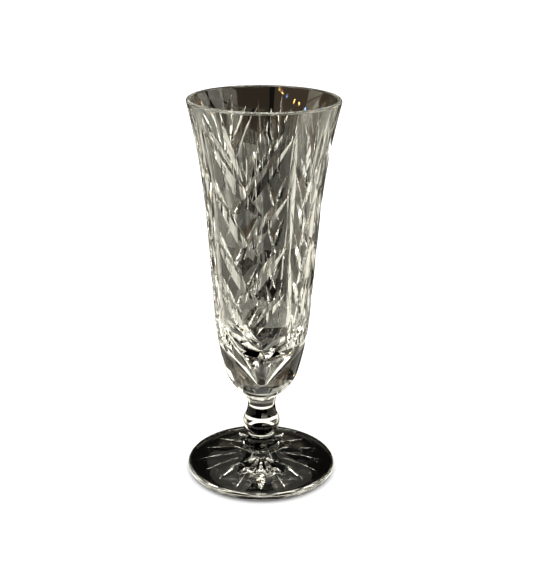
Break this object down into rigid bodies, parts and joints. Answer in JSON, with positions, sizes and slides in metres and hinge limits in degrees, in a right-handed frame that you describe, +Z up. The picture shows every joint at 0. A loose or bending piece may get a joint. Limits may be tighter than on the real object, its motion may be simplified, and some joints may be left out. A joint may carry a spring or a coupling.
{
  "type": "champagne flute",
  "caption": "Footed champagne flute in clear cut crystal: flared bowl with mitre-cut chevrons and leaves, short stem with a ball knop, star-cut foot.",
  "frame": {"origin": "centre of the flat ring that the foot rests on", "axes": "+Z up along the axis of the flute, towards the lip; -Y faces the viewer"},
  "size_m": [0.0732, 0.0732, 0.185],
  "materials": {
    "crystal": "clear lead crystal, polished, index of refraction about 1.55"
  },
  "bodies": {
    "root": {"bowl": "crystal", "neck": "crystal", "knop": "crystal", "stem": "crystal", "foot_ring": "crystal", "foot": "crystal"}
  },
  "joints": []
}
